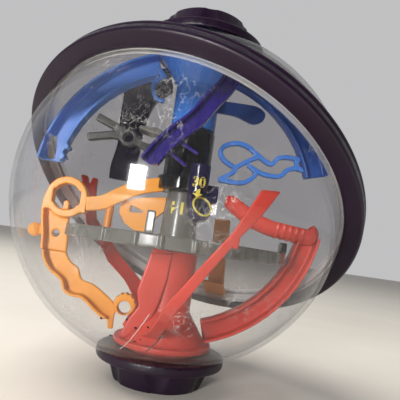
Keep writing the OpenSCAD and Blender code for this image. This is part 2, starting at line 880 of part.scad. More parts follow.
module pipe_between(a, b, r) {
    d = b - a;
    translate([a.x, 0, a.y]) rotate([0, 90 - atan2(d.y, d.x), 0]) cylinder(r = r, h = norm(d));
}

module trough_pipes(r) {
    path = scaled(trough_path);
    for (i = [0 : len(path) - 2]) pipe_between(path[i], path[i + 1], r);
    for (p = path) translate([p.x, 0, p.y]) sphere(r = r);
}

// Half-round trough, open upwards, with a rounded cup at its inner end
module ribbed_trough() {
    path = scaled(trough_path);
    along = (path[1] - path[0]) / (trough_ribs + 1);
    color("#b5352f") at_centre() lower_room() difference() {
        union() {
            trough_pipes(trough_r);
            for (i = [1 : trough_ribs])
                pipe_between(path[0] + i * along, path[0] + (i + trough_rib_share) * along,
                             trough_r + trough_rib_h);
        }
        trough_pipes(trough_r - track_wall);
        stand(far, -far / 2) polygon(concat([for (p = path) p + [0, trough_lip]],
            [path[3] + cup_back, [path[3].x + cup_back.x, far], [far, far]]));
    }
}

left_outer = [[-24, -78], [-20, -68], [-30, -56.6], [-43.4, -45.6], [-52, -34], [-61.7, -21.4],
              [-64.6, -8], [-68, 6], [-68, 12]];
left_inner = [[-60, 12], [-60, 4], [-59, -8], [-56.6, -18], [-46.6, -30], [-37, -41],
              [-22, -54], [-10, -66], [-8, -78]];
fork_notch = [[-66, 12], [-64, 3], [-62, 12]];
module left_arm() {
    color("#c2423b") at_centre() lower_room() difference() {
        intersection() {
            skin();
            stand(far, -far) difference() {
                polygon(scaled(concat(left_outer, left_inner)));
                polygon(scaled(fork_notch));
            }
        }
        hub_envelope(-1);
    }
}

/* ---------- ball ---------- */

ball_angle = 84;
module steel_ball() {
    color("silver") at_centre() rotate([0, 0, ball_angle])
        translate([track_r - track_w / 2, 0, track_foot + floor_t + ball_r]) sphere(r = ball_r);
}

front_dome();
rear_dome();
front_ring();
rear_ring();
ring_screws();
core_cone();
core_sleeve();
sleeve_collar();
round_track();
track_post();
track_stop();
fork_arm();
landing_plate();
finish_tube();
finish_rim();
tube_elbow();
loop_track();
wave_track();
scallop_cup();
curved_arm();
petal_track();
drop_pin();
rear_post();
upper_knob();
upper_knob_screw();
upper_hub();
left_slide();
right_arc();
wavy_ladder();
rear_lobe();
violet_ramp();
hook_rail();
navy_band();
lower_knob();
lower_knob_screw();
lower_hub();
front_blade();
long_bar();
sweep_arm();
ribbed_trough();
left_arm();
steel_ball();
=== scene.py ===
# %% [markdown]
# # A ball maze inside a clear sphere
# The real toy is a sphere of thin clear plastic with a dark rim ring round its seam and a knob at each end.
# Inside are bright moulded tracks in three colours. The sizes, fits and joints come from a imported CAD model,
# so this lesson only gives every piece its final surface and finish and puts it in soft light.
# We load the model first, because everything after it is placed from what the model measures.

# %% Load the frame
import json
import math
import bmesh
import bpy
from mathutils import Matrix, Vector


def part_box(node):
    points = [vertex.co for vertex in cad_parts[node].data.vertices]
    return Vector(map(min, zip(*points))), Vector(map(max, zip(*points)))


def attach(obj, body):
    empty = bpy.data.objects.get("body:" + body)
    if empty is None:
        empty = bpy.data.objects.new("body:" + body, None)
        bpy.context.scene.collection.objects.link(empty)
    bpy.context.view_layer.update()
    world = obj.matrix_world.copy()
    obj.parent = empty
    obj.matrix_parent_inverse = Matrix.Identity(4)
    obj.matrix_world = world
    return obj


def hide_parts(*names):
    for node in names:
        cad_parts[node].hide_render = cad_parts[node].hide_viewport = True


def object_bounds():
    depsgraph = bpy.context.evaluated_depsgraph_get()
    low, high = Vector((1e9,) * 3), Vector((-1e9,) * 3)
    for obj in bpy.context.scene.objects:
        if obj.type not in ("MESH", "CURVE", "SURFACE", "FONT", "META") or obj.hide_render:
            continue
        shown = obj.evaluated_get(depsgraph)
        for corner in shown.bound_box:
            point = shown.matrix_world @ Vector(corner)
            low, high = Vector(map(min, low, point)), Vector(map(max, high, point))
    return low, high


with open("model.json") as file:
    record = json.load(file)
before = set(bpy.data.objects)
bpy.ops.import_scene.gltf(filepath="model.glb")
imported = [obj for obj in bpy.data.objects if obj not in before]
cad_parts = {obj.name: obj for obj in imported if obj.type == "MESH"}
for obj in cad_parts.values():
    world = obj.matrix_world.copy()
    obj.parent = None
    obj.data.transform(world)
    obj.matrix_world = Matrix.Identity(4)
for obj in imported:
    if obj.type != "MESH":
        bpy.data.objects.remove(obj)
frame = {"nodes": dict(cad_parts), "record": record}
cad_low, cad_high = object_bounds()
MM = 0.001
record = frame["record"]
bodies_of_nodes = {n: body for body, nodes in record["behaviour"]["bodies"].items() for n in nodes}
centre = (cad_low + cad_high) / 2
print("nodes:", len(frame["nodes"]), " size in mm:", [round(v / MM, 1) for v in cad_high - cad_low])

# %% [markdown]
# ## Camera, floor and light
# The toy stands on its lower knob and is seen from the front, a little below its middle and with the camera
# tipped. A camera could be aimed by a constraint, but three angles of its own keep the tip exact.
# A broad window-like lamp at the front left makes the bright patch on the clear shell, and a large soft lamp
# overhead fills the shadows.

# %% Camera
SHELL_R = 90 * MM
EYE_BACK = 2.756 * SHELL_R
EYE_DROP = 0.311 * SHELL_R
EYE_TURN = math.radians(-2.3)
EYE_RISE = math.radians(6.3)
EYE_TIP = math.radians(8.1)
EYE = centre - Vector((0, EYE_BACK, EYE_DROP))
camera_data = bpy.data.cameras.new("maze_camera")
camera_data.lens = 38.7
camera_data.sensor_width = 36
camera = bpy.data.objects.new("maze_camera", camera_data)
bpy.context.scene.collection.objects.link(camera)
level = Matrix.Rotation(EYE_TURN, 4, "Z") @ Matrix.Rotation(math.pi / 2 + EYE_RISE, 4, "X")
camera.matrix_world = Matrix.Translation(EYE) @ level @ Matrix.Rotation(EYE_TIP, 4, "Z")
bpy.context.scene.camera = camera
print("camera", [round(v, 3) for v in EYE])


# %% Floor
def node_tree(name):
    material = bpy.data.materials.new(name)
    material.use_nodes = True
    tree = material.node_tree
    tree.nodes.clear()
    return material, tree


def link(tree, start, end):
    tree.links.new(start, end)


def object_noise(tree, scale, detail=4, roughness=0.6, stretch=(1, 1, 1)):
    """Noise on Object coordinates, its scale in cells per metre."""
    place = tree.nodes.new("ShaderNodeTexCoord")
    mapping = tree.nodes.new("ShaderNodeMapping")
    mapping.inputs["Scale"].default_value = stretch
    noise = tree.nodes.new("ShaderNodeTexNoise")
    noise.inputs["Scale"].default_value = scale
    noise.inputs["Detail"].default_value = detail
    noise.inputs["Roughness"].default_value = roughness
    link(tree, place.outputs["Object"], mapping.inputs["Vector"])
    link(tree, mapping.outputs["Vector"], noise.inputs["Vector"])
    return noise.outputs["Fac"]


def ramp(tree, value, stops):
    """Colour ramp with (place, colour) stops."""
    node = tree.nodes.new("ShaderNodeValToRGB")
    while len(node.color_ramp.elements) < len(stops):
        node.color_ramp.elements.new(0.5)
    for element, (place, colour) in zip(node.color_ramp.elements, stops):
        element.position = place
        element.color = (*colour, 1)
    link(tree, value, node.inputs["Fac"])
    return node.outputs["Color"]


def grey(v):
    return (v, v, v)


def floor_finish():
    material, tree = node_tree("pale_floor")
    out = tree.nodes.new("ShaderNodeOutputMaterial")
    skin = tree.nodes.new("ShaderNodeBsdfPrincipled")
    colour = ramp(tree, object_noise(tree, 9), [(0.3, (0.80, 0.76, 0.68)), (0.7, (0.85, 0.81, 0.73))])
    link(tree, colour, skin.inputs["Base Color"])
    skin.inputs["Roughness"].default_value = 0.7
    link(tree, skin.outputs["BSDF"], out.inputs["Surface"])
    return material


bpy.ops.mesh.primitive_plane_add(size=12, location=(0, 0, cad_low.z))
floor = bpy.context.object
floor.name = "floor"
floor.data.materials.append(floor_finish())


# %% Lamps and sky
def soft_lamp(name, direction, distance, width, height, power, colour, mirrored):
    """Area lamp that looks at the toy's centre from a direction, seen in gloss or not."""
    data = bpy.data.lights.new(name, "AREA")
    data.shape = "RECTANGLE"
    data.size, data.size_y = width, height
    data.energy = power
    data.color = colour
    lamp = bpy.data.objects.new(name, data)
    bpy.context.scene.collection.objects.link(lamp)
    toward = Vector(direction).normalized()
    lamp.location = centre + toward * distance
    lamp.rotation_euler = toward.to_track_quat("Z", "Y").to_euler()
    lamp.visible_glossy = mirrored


def room_light(wall, front, strength):
    """The room as the toy sees it: bright at the wall behind it, dim on the viewer's side."""
    world = bpy.data.worlds.new("room")
    bpy.context.scene.world = world
    world.use_nodes = True
    tree = world.node_tree
    sky = tree.nodes["Background"]
    place = tree.nodes.new("ShaderNodeTexCoord")
    axes = tree.nodes.new("ShaderNodeSeparateXYZ")
    rays = tree.nodes.new("ShaderNodeLightPath")
    seen = tree.nodes.new("ShaderNodeMix")
    seen.data_type = "RGBA"
    seen.inputs["B"].default_value = (*wall, 1)
    link(tree, place.outputs["Generated"], axes.inputs["Vector"])
    depth = tree.nodes.new("ShaderNodeMapRange")
    depth.inputs["From Min"].default_value = -0.6
    depth.inputs["From Max"].default_value = 0.8
    link(tree, axes.outputs["Y"], depth.inputs["Value"])
    link(tree, ramp(tree, depth.outputs["Result"], [(0, front), (1, wall)]), seen.inputs["A"])
    link(tree, rays.outputs["Is Camera Ray"], seen.inputs["Factor"])
    link(tree, seen.outputs["Result"], sky.inputs["Color"])
    sky.inputs["Strength"].default_value = strength


soft_lamp("window", (-0.417, -0.846, 0.072), 0.95, 0.15, 0.22, 9, (1.0, 0.98, 0.95), True)
soft_lamp("ceiling", (-0.5, 0.0, 1), 1.6, 1.2, 1.2, 26, (1.0, 0.97, 0.93), False)
room_light((0.66, 0.66, 0.67), (0.05, 0.05, 0.06), 0.80)
bpy.context.scene.view_settings.view_transform = "Standard"

# %% [markdown]
# ## Moulded plastic
# Most of the toy is injection-moulded plastic. Up close such a part isn't one flat colour: it has slow drifts
# of shade where the plastic cooled, a satin skin that is a little rougher in places, and fine handling
# scratches. One function builds that finish, and each colour of the toy calls it with its own values.
# Patterns read Object coordinates, so they stay on the piece when it turns.


# %% Plastic finish
def scaled_colour(colour, share):
    return tuple(min(1, c * share) for c in colour)


def plastic(name, colour, rough=0.38, drift=0.12, scratch=0.25, coat=0.0):
    material, tree = node_tree(name)
    out = tree.nodes.new("ShaderNodeOutputMaterial")
    skin = tree.nodes.new("ShaderNodeBsdfPrincipled")
    shade = ramp(tree, object_noise(tree, 28, 3), [
        (0.3, scaled_colour(colour, 1 - drift)), (0.7, scaled_colour(colour, 1 + drift))])
    fleck = ramp(tree, object_noise(tree, 900, 2), [(0.35, grey(0.93)), (0.65, grey(1))])
    mixed = tree.nodes.new("ShaderNodeMix")
    mixed.data_type = "RGBA"
    mixed.blend_type = "MULTIPLY"
    mixed.inputs["Factor"].default_value = 1
    link(tree, shade, mixed.inputs["A"])
    link(tree, fleck, mixed.inputs["B"])
    link(tree, mixed.outputs["Result"], skin.inputs["Base Color"])
    lines = ramp(tree, object_noise(tree, 260, 5, 0.75, (1, 0.12, 0.3)), [
        (0.30, grey(min(1, rough * (1 - scratch)))), (0.72, grey(min(1, rough * (1 + scratch))))])
    link(tree, lines, skin.inputs["Roughness"])
    bump = tree.nodes.new("ShaderNodeBump")
    bump.inputs["Strength"].default_value = 0.12
    bump.inputs["Distance"].default_value = 0.0002
    link(tree, object_noise(tree, 420, 5, 0.7), bump.inputs["Height"])
    link(tree, bump.outputs["Normal"], skin.inputs["Normal"])
    skin.inputs["Specular IOR Level"].default_value = 0.35
    skin.inputs["Coat Weight"].default_value = coat
    skin.inputs["Coat Roughness"].default_value = 0.12
    link(tree, skin.outputs["BSDF"], out.inputs["Surface"])
    return material


PAINTS = {
    "orange": plastic("track_orange", (0.86, 0.34, 0.025), 0.36),
    # a darker copy of the same orange plastic: painted shade for the drop pin and the rear post
    "orange_painted_shade": plastic("track_orange_painted_shade", (0.70, 0.24, 0.02), 0.36),
    "red": plastic("track_red", (0.66, 0.060, 0.040), 0.34),
    "blue": plastic("track_blue", (0.060, 0.20, 0.62), 0.36),
    "pale_blue": plastic("slide_pale_blue", (0.085, 0.23, 0.66), 0.42),
    "deep_blue": plastic("arc_deep_blue", (0.022, 0.085, 0.36), 0.33),
    "hub_blue": plastic("hub_bright_blue", (0.040, 0.17, 0.58), 0.26, coat=0.3),
    "dark_grey": plastic("fork_dark_grey", (0.040, 0.040, 0.037), 0.34),
    "indigo": plastic("track_indigo", (0.022, 0.010, 0.18), 0.28, coat=0.3),
    "navy": plastic("tube_navy", (0.012, 0.010, 0.050), 0.24, coat=0.4),
    "grey": plastic("middle_grey", (0.125, 0.127, 0.115), 0.30, coat=0.2),
    "black": plastic("sleeve_black", (0.012, 0.012, 0.013), 0.16, coat=0.6),
    "purple": plastic("rim_dark_purple", (0.010, 0.003, 0.014), 0.40, 0.25, 0.4),
    "yellow": plastic("print_yellow", (0.80, 0.66, 0.09), 0.5),
}
print("plastic finishes:", len(PAINTS))


# %% Metal finish
def metal(name, colour, rough):
    material, tree = node_tree(name)
    out = tree.nodes.new("ShaderNodeOutputMaterial")
    skin = tree.nodes.new("ShaderNodeBsdfPrincipled")
    skin.inputs["Metallic"].default_value = 1
    tint = ramp(tree, object_noise(tree, 300, 4), [
        (0.3, scaled_colour(colour, 0.85)), (0.7, colour)])
    link(tree, tint, skin.inputs["Base Color"])
    wear = ramp(tree, object_noise(tree, 1500, 5), [(0.3, grey(rough * 0.7)), (0.7, grey(rough * 1.5))])
    link(tree, wear, skin.inputs["Roughness"])
    link(tree, skin.outputs["BSDF"], out.inputs["Surface"])
    return material


PAINTS["steel"] = metal("screw_steel", (0.62, 0.62, 0.64), 0.28)
PAINTS["ball"] = metal("ball_steel", (0.70, 0.70, 0.72), 0.10)
print("metal finishes: 2")

# %% [markdown]
# ## Soft-edged mouldings
# A CAD piece has knife-sharp edges and is made of loose triangles. A real moulding has edges rounded by the
# tool. A bevel would need clean faces, which a cut CAD mesh doesn't have, so a copy of each piece is welded,
# rebuilt from small even cells and relaxed. That rounds every edge by the same half millimetre.


# %% Moulding helper
def welded_copy(node, name):
    """Copy of a CAD node's mesh with its loose triangles joined."""
    bm = bmesh.new()
    bm.from_mesh(frame["nodes"][node].data)
    bmesh.ops.remove_doubles(bm, verts=bm.verts, dist=0.002 * MM)
    mesh = bpy.data.meshes.new(name)
    bm.to_mesh(mesh)
    bm.free()
    piece = bpy.data.objects.new(name, mesh)
    bpy.context.scene.collection.objects.link(piece)
    return piece


def made_plain(piece):
    """Applies a piece's modifiers, with every face smooth."""
    graph = bpy.context.evaluated_depsgraph_get()
    mesh = bpy.data.meshes.new_from_object(piece.evaluated_get(graph))
    piece.modifiers.clear()
    piece.data = mesh
    mesh.shade_smooth()
    return piece


def dress(piece, node, paint):
    """Gives a finished piece its finish and its body, and hides its CAD node."""
    piece.data.materials.clear()
    piece.data.materials.append(PAINTS[paint])
    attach(piece, bodies_of_nodes[node])
    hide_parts(node)


def moulding(node, paint, cell=0.5, relax=3):
    """Stands a soft-edged copy of a CAD node in its place. The cell is in millimetres."""
    piece = welded_copy(node, node + "_moulding")
    cells = piece.modifiers.new("cells", "REMESH")
    cells.mode = "VOXEL"
    cells.voxel_size = cell * MM
    ease = piece.modifiers.new("ease", "SMOOTH")
    ease.factor = 0.5
    ease.iterations = relax
    made_plain(piece)
    dress(piece, node, paint)
    return len(piece.data.polygons)


# %% The three sets of tracks
MIDDLE = {
    "core_cone": "grey", "core_sleeve": "black", "sleeve_collar": "black", "round_track": "grey",
    "track_post": "grey", "track_stop": "black", "fork_arm": "dark_grey", "landing_plate": "grey",
    "finish_tube": "navy", "finish_rim": "yellow", "tube_elbow": "navy", "loop_track": "orange",
    "wave_track": "orange", "scallop_cup": "orange", "curved_arm": "orange", "petal_track": "orange",
    # the drop pin and the rear post wear the darker orange, which is painted shade
    "drop_pin": "orange_painted_shade", "rear_post": "orange_painted_shade"}
UPPER = {
    "upper_hub": "hub_blue", "left_slide": "pale_blue", "right_arc": "deep_blue", "wavy_ladder": "blue",
    "rear_lobe": "deep_blue", "violet_ramp": "indigo", "hook_rail": "blue", "navy_band": "navy"}
LOWER = {
    "lower_hub": "red", "front_blade": "red", "long_bar": "red", "sweep_arm": "red",
    "ribbed_trough": "red", "left_arm": "red"}
for group in (MIDDLE, UPPER, LOWER):
    for node, paint in group.items():
        print(node, moulding(node, paint), "faces")

# %% Knobs
for node in ("upper_knob", "lower_knob"):
    print(node, moulding(node, "purple", 0.7, 4), "faces")

# %% [markdown]
# ## Rim ring
# The rim ring is two half rings with a rounded section, each with a groove for the shell's lip. Its shape
# follows one rule, a section carried round a circle, so a Geometry Nodes tree makes it: a circle of the
# section's radius, and the section as a curve swept along it.

# %% Ring section
LIP_R = 95 * MM
RING_OUTER_R = 99.4 * MM
RING_HALF_T = 4.6 * MM
RING_ROUND = 1.7 * MM
LIP_T = 1.8 * MM
SEAM_TILT = math.radians(40)
SEAM_TURN = math.radians(-28.8)
seam = Matrix.Translation(centre) @ Matrix.Rotation(SEAM_TURN, 4, "Z") @ Matrix.Rotation(-SEAM_TILT, 4, "X")
ROUND_STEPS = 6


def corner(x, z, start):
    """Quarter round about (x, z), from a start angle in quarter turns."""
    angles = [(start + i / ROUND_STEPS) * math.pi / 2 for i in range(ROUND_STEPS + 1)]
    return [(x + RING_ROUND * math.cos(a), z + RING_ROUND * math.sin(a)) for a in angles]


def ring_section():
    top = RING_HALF_T - RING_ROUND
    points = [(LIP_R, 0), (RING_OUTER_R, 0)]
    points += corner(RING_OUTER_R - RING_ROUND, top, 0)
    points += corner(SHELL_R + RING_ROUND, top, 1)
    points += [(SHELL_R, LIP_T), (LIP_R, LIP_T)]
    return points


print("section points:", len(ring_section()))


# %% Sweep tree
def group_with(name, inputs):
    """New Geometry Nodes group with a geometry input and named number inputs."""
    tree = bpy.data.node_groups.new(name, "GeometryNodeTree")
    tree.interface.new_socket("Geometry", in_out="INPUT", socket_type="NodeSocketGeometry")
    for label, kind, value in inputs:
        socket = tree.interface.new_socket(label, in_out="INPUT", socket_type=kind)
        if value is not None:
            socket.default_value = value
    tree.interface.new_socket("Geometry", in_out="OUTPUT", socket_type="NodeSocketGeometry")
    return tree, tree.nodes.new("NodeGroupInput"), tree.nodes.new("NodeGroupOutput")


def set_inputs(modifier, values):
    """Sets a Geometry Nodes modifier's inputs by their sockets' identifiers."""
    for item in modifier.node_group.interface.items_tree:
        if item.item_type == "SOCKET" and item.in_out == "INPUT" and item.name in values:
            modifier[item.identifier] = values[item.name]


def sweep_tree():
    """Carries the section, drawn in X and Y, round a circle of the given radius."""
    tree, entry, leave = group_with("ring_sweep", [
        ("Radius", "NodeSocketFloat", 0.1), ("Steps", "NodeSocketInt", 180),
        ("Finish", "NodeSocketMaterial", None)])
    circle = tree.nodes.new("GeometryNodeCurvePrimitiveCircle")
    profile = tree.nodes.new("GeometryNodeMeshToCurve")
    swept = tree.nodes.new("GeometryNodeCurveToMesh")
    merged = tree.nodes.new("GeometryNodeMergeByDistance")
    merged.inputs["Distance"].default_value = 0.002 * MM
    real = tree.nodes.new("GeometryNodeRealizeInstances")
    finish = tree.nodes.new("GeometryNodeSetMaterial")
    link(tree, entry.outputs["Radius"], circle.inputs["Radius"])
    link(tree, entry.outputs["Steps"], circle.inputs["Resolution"])
    link(tree, entry.outputs["Geometry"], profile.inputs["Mesh"])
    link(tree, circle.outputs["Curve"], swept.inputs["Curve"])
    link(tree, profile.outputs["Curve"], swept.inputs["Profile Curve"])
    link(tree, swept.outputs["Mesh"], merged.inputs["Geometry"])
    link(tree, merged.outputs["Geometry"], real.inputs["Geometry"])
    link(tree, real.outputs["Geometry"], finish.inputs["Geometry"])
    link(tree, entry.outputs["Finish"], finish.inputs["Material"])
    link(tree, finish.outputs["Geometry"], leave.inputs["Geometry"])
    return tree


def grown(name, mesh, tree, values):
    """Runs a tree on a mesh and keeps the result as a plain piece."""
    piece = bpy.data.objects.new(name, mesh)
    bpy.context.scene.collection.objects.link(piece)
    modifier = piece.modifiers.new("tree", "NODES")
    modifier.node_group = tree
    set_inputs(modifier, values)
    return made_plain(piece)


def faces_out(piece):
    bm = bmesh.new()
    bm.from_mesh(piece.data)
    bmesh.ops.recalc_face_normals(bm, faces=bm.faces)
    bm.to_mesh(piece.data)
    bm.free()


def section_mesh(points, middle):
    """Closed loop of edges through the section's points, about its middle radius."""
    mesh = bpy.data.meshes.new("section")
    loop = [(i, (i + 1) % len(points)) for i in range(len(points))]
    mesh.from_pydata([(x - middle, z, 0) for x, z in points], loop, [])
    return mesh


# %% The two ring halves
RING_MIDDLE_R = (SHELL_R + RING_OUTER_R) / 2
ring_tree = sweep_tree()
for node, turn in (("rear_ring", 0), ("front_ring", math.pi)):
    half = grown(node + "_moulding", section_mesh(ring_section(), RING_MIDDLE_R), ring_tree,
                 {"Radius": RING_MIDDLE_R, "Steps": 220, "Finish": PAINTS["purple"]})
    reach = max(math.hypot(v.co.x, v.co.y) for v in half.data.vertices)
    print(node, "reach in mm", round(reach / MM, 2), "heights",
          [round(f(v.co.z for v in half.data.vertices) / MM, 2) for f in (min, max)])
    half.data.transform(seam @ Matrix.Rotation(turn, 4, "X"))
    faces_out(half)
    half.data.shade_smooth()
    dress(half, node, "purple")

# %% [markdown]
# ## Screws
# Eight small screws close the ring and one larger screw holds each knob. They are the same cross-head screw,
# so one head is modelled once: a turned profile with a cross cut into it. A Geometry Nodes tree stands copies
# of it on the points of a circle, because eight equal things round a ring are one rule, not eight objects.

# %% One screw
HEAD_STEPS = 28


def lathe(name, profile, steps):
    """Closed solid turned from (radius, height) points, the first and last on the axis."""
    bm = bmesh.new()
    rings = []
    turns = [2 * math.pi * i / steps for i in range(steps)]
    for r, z in profile[1:-1]:
        rings.append([bm.verts.new((r * math.cos(a), r * math.sin(a), z)) for a in turns])
    first = bm.verts.new((0, 0, profile[0][1]))
    last = bm.verts.new((0, 0, profile[-1][1]))
    for i in range(steps):
        j = (i + 1) % steps
        bm.faces.new((first, rings[0][j], rings[0][i]))
        bm.faces.new((last, rings[-1][i], rings[-1][j]))
        for a, b in zip(rings, rings[1:]):
            bm.faces.new((a[i], a[j], b[j], b[i]))
    bmesh.ops.recalc_face_normals(bm, faces=bm.faces)
    mesh = bpy.data.meshes.new(name)
    bm.to_mesh(mesh)
    bm.free()
    return mesh


def box_mesh(name, size):
    bm = bmesh.new()
    bmesh.ops.create_cube(bm, size=1)
    bm.transform(Matrix.Diagonal((*size, 1)))
    mesh = bpy.data.meshes.new(name)
    bm.to_mesh(mesh)
    bm.free()
    return mesh


def screw_mesh(name, head_r, head_h, shank_r, shank_l):
    """Cross-head screw with its head's top at z = 0."""
    edge = 0.25 * head_h
    profile = [
        (0, -shank_l), (shank_r * 0.7, -shank_l), (shank_r, -shank_l + shank_r), (shank_r, -head_h),
        (head_r, -head_h), (head_r, -2 * edge), (head_r - 0.3 * edge, -edge),
        (head_r - edge, -0.3 * edge), (head_r - 2 * edge, 0), (0, 0)]
    screw = bpy.data.objects.new(name, lathe(name, profile, HEAD_STEPS))
    bpy.context.scene.collection.objects.link(screw)
    cutters = []
    for i, size in enumerate(((1.3, 0.32, 1.1), (0.32, 1.3, 1.1))):
        mesh = box_mesh(f"cross_{i}", (size[0] * head_r, size[1] * head_r, size[2] * head_h))
        cutter = bpy.data.objects.new(f"cross_{i}", mesh)
        bpy.context.scene.collection.objects.link(cutter)
        cut = screw.modifiers.new(f"cross_{i}", "BOOLEAN")
        cut.operation = "DIFFERENCE"
        cut.object = cutter
        cutters.append(cutter)
    bpy.context.view_layer.update()
    graph = bpy.context.evaluated_depsgraph_get()
    mesh = bpy.data.meshes.new_from_object(screw.evaluated_get(graph))
    for spare in (screw, *cutters):
        bpy.data.objects.remove(spare)
    mesh.shade_flat()
    return mesh


# %% Screw circle tree
def screw_tree():
    """Stands the input mesh on points spaced round a circle, each turned 1.1 radians further than the one
    before.
    """
    tree, entry, leave = group_with("screw_circle", [
        ("Count", "NodeSocketInt", 8), ("Radius", "NodeSocketFloat", 0.097),
        ("Finish", "NodeSocketMaterial", None)])
    circle = tree.nodes.new("GeometryNodeMeshCircle")
    points = tree.nodes.new("GeometryNodeInstanceOnPoints")
    index = tree.nodes.new("GeometryNodeInputIndex")
    turn = tree.nodes.new("ShaderNodeMath")
    turn.operation = "MULTIPLY"
    turn.inputs[1].default_value = 1.1
    spin = tree.nodes.new("ShaderNodeCombineXYZ")
    real = tree.nodes.new("GeometryNodeRealizeInstances")
    finish = tree.nodes.new("GeometryNodeSetMaterial")
    link(tree, entry.outputs["Count"], circle.inputs["Vertices"])
    link(tree, entry.outputs["Radius"], circle.inputs["Radius"])
    link(tree, circle.outputs["Mesh"], points.inputs["Points"])
    link(tree, entry.outputs["Geometry"], points.inputs["Instance"])
    link(tree, index.outputs["Index"], turn.inputs[0])
    link(tree, turn.outputs["Value"], spin.inputs["Z"])
    link(tree, spin.outputs["Vector"], points.inputs["Rotation"])
    link(tree, points.outputs["Instances"], real.inputs["Geometry"])
    link(tree, real.outputs["Geometry"], finish.inputs["Geometry"])
    link(tree, entry.outputs["Finish"], finish.inputs["Material"])
    link(tree, finish.outputs["Geometry"], leave.inputs["Geometry"])
    return tree


# %% Ring screws and knob screws
SCREW_COUNT = 8
SCREW_RING_R = 97.2 * MM
RING_SCREW = {"head_r": 1.55 * MM, "head_h": 1.1 * MM, "shank_r": 0.85 * MM, "shank_l": 5.9 * MM}
KNOB_SCREW = {"head_r": 3.1 * MM, "head_h": 2.1 * MM, "shank_r": 1.45 * MM, "shank_l": 16 * MM}
screws = grown("ring_screws_set", screw_mesh("ring_screw", **RING_SCREW), screw_tree(),
               {"Count": SCREW_COUNT, "Radius": SCREW_RING_R, "Finish": PAINTS["steel"]})
half_step = Matrix.Rotation(math.pi / SCREW_COUNT, 4, "Z")
screws.data.transform(seam @ Matrix.Translation((0, 0, RING_HALF_T)) @ half_step)
screws.data.shade_flat()
dress(screws, "ring_screws", "steel")
for node, end in (("upper_knob_screw", 1), ("lower_knob_screw", -1)):
    low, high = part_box(node)
    head = bpy.data.objects.new(node + "_turned", screw_mesh(node + "_turned", **KNOB_SCREW))
    bpy.context.scene.collection.objects.link(head)
    place = Matrix.Translation((0, 0, high.z if end > 0 else low.z))
    head.data.transform(place @ Matrix.Rotation(0 if end > 0 else math.pi, 4, "X"))
    dress(head, node, "steel")
print("screws:", SCREW_COUNT + 2, "faces in the ring set:", len(screws.data.polygons))

# %% Steel ball
low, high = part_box("steel_ball")
bm = bmesh.new()
bmesh.ops.create_icosphere(bm, subdivisions=4, radius=(high.z - low.z) / 2 * 0.998)
bm.transform(Matrix.Translation((low + high) / 2))
ball_mesh = bpy.data.meshes.new("polished_ball")
bm.to_mesh(ball_mesh)
bm.free()
ball_mesh.shade_smooth()
ball = bpy.data.objects.new("polished_ball", ball_mesh)
bpy.context.scene.collection.objects.link(ball)
dress(ball, "steel_ball", "ball")
print("ball diameter in mm", round((high.z - low.z) / MM, 2))

# %% [markdown]
# ## Clear shell
# The two domes are clear polystyrene, 2 mm thick. Rays go straight through so thin a wall, so it needs no
# bending glass: a see-through shader, a mirror that grows towards the rim as any clear plastic does, and a
# thin white haze for the scuffs that years of handling leave. The CAD mesh has the right shape, but its
# facets would break up reflections, so every corner on the sphere is given the sphere's own direction.


# %% Clear finish
LIP_GLOW_FROM = 5.3 * MM
LIP_GLOW_FULL = 4.2 * MM


def maths(tree, operation, first, second=None):
    """Math node on sockets or plain numbers."""
    node = tree.nodes.new("ShaderNodeMath")
    node.operation = operation
    for socket, value in zip(node.inputs, (first, second)):
        if isinstance(value, (int, float)):
            socket.default_value = value
        elif value is not None:
            link(tree, value, socket)
    return node.outputs["Value"]


